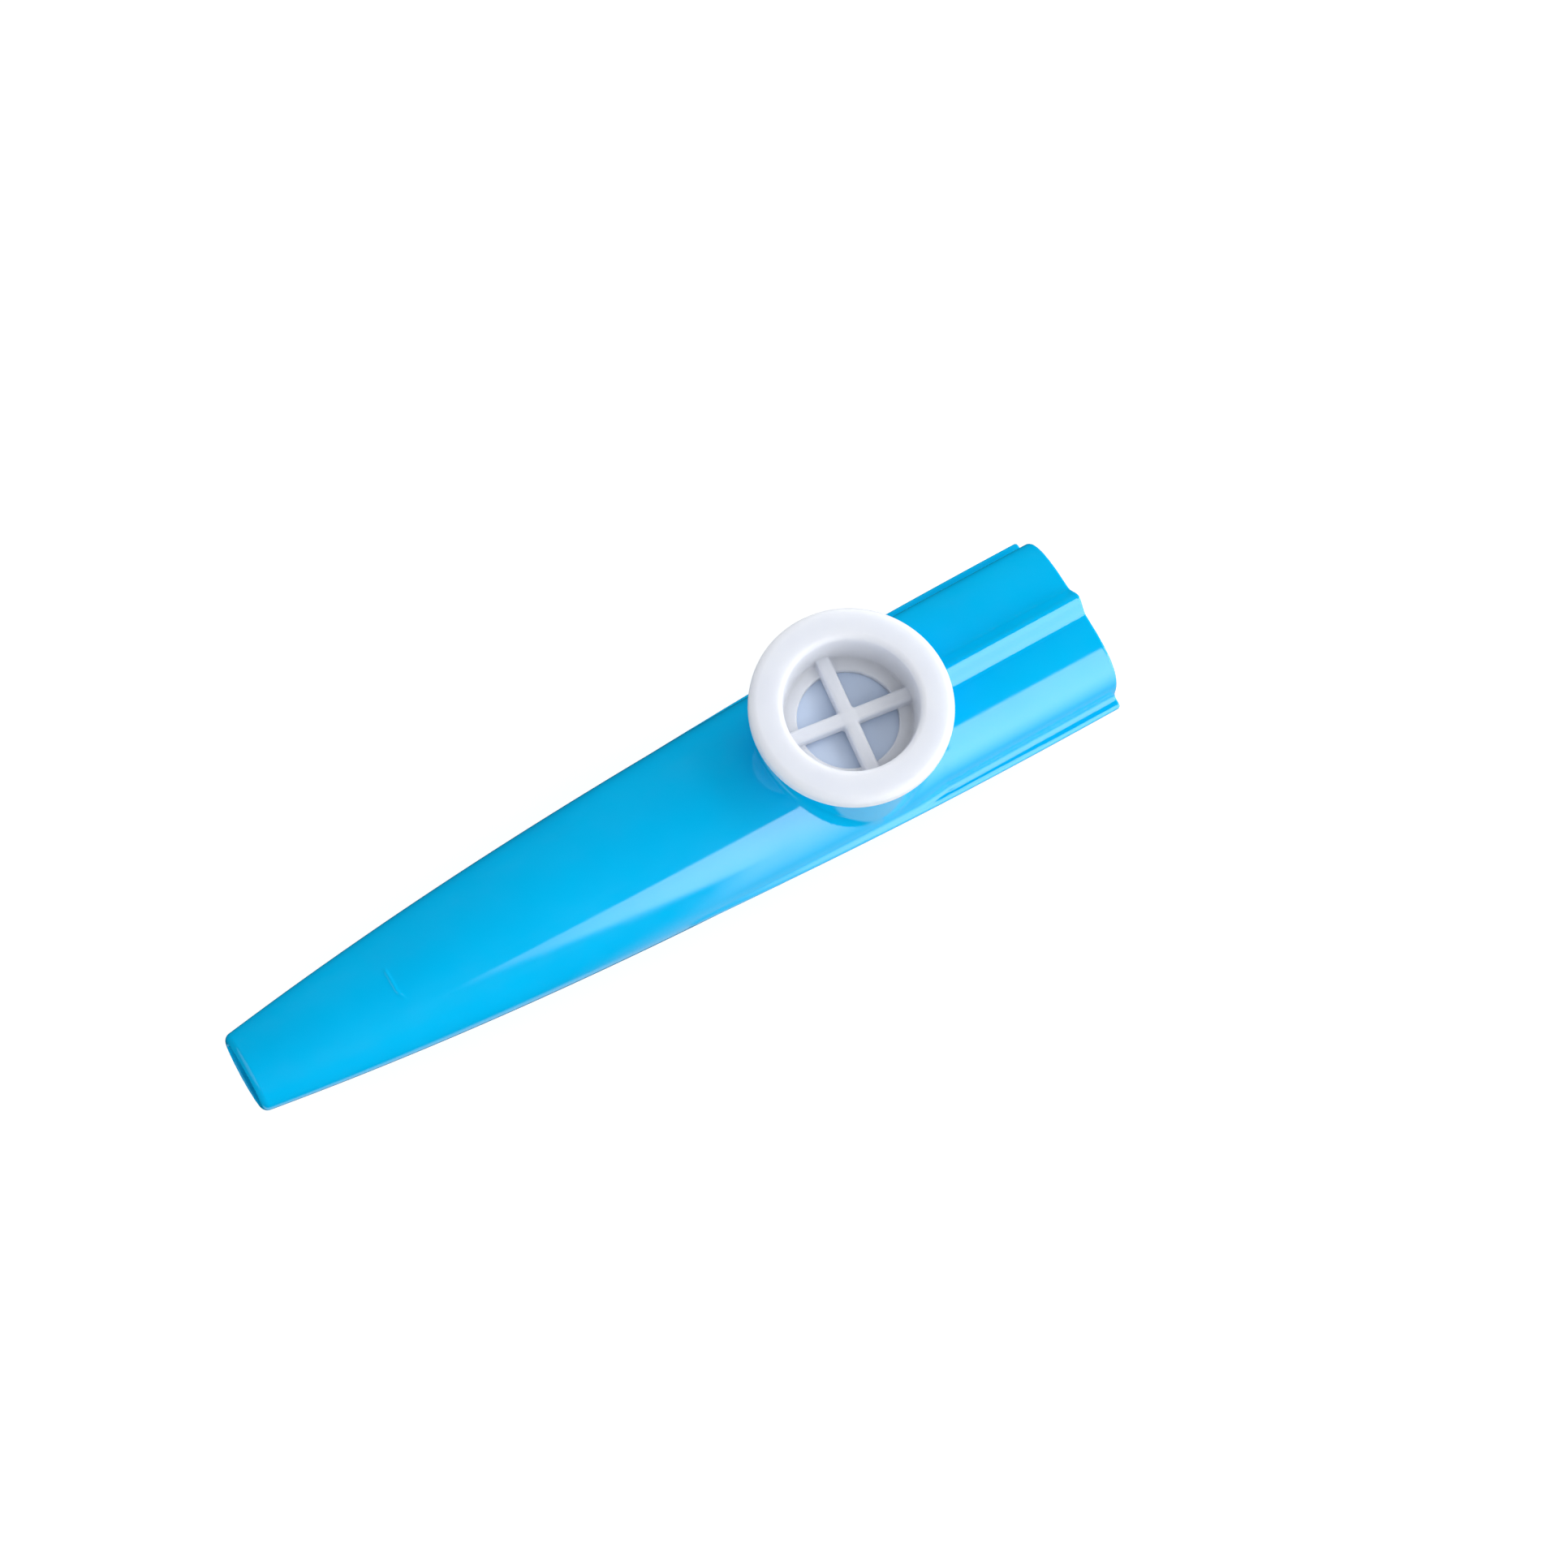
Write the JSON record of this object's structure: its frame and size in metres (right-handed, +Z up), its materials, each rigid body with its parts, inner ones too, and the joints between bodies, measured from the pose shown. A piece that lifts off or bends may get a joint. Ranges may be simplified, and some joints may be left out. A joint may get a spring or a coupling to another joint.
{
  "type": "kazoo",
  "caption": "Plastic kazoo with a round tapering barrel, a lobed mouth part, a turret with a film membrane and a press-in cap with a cross guard.",
  "frame": {"origin": "under the middle of the body, on the surface that its flat underside rests on", "axes": "+X along the body from the narrow end to the mouth end, +Z up out of the turret, Y across the body"},
  "size_m": [0.114, 0.0244, 0.0277],
  "materials": {
    "body_plastic": "glossy injection-moulded sky-blue plastic",
    "cap_plastic": "satin injection-moulded white plastic with a faint cool tint",
    "ring_plastic": "satin white plastic",
    "film": "thin translucent film with a soft sheen"
  },
  "bodies": {
    "shell": {"body": "body_plastic"},
    "membrane": {"membrane_ring": "ring_plastic", "membrane_film": "film"},
    "cap": {"cap": "cap_plastic"}
  },
  "joints": [
    {"name": "cap_pull", "type": "slide", "parent": "shell", "child": "cap", "axis": [0, 0, 1], "range_m": [0, 0.024]},
    {"name": "membrane_lift", "type": "slide", "parent": "shell", "child": "membrane", "axis": [0, 0, 1], "range_m": [0, 0.012]}
  ],
  "couplings": [
    {"joint": "membrane_lift", "follows": "cap_pull", "ratio": 0.5}
  ]
}
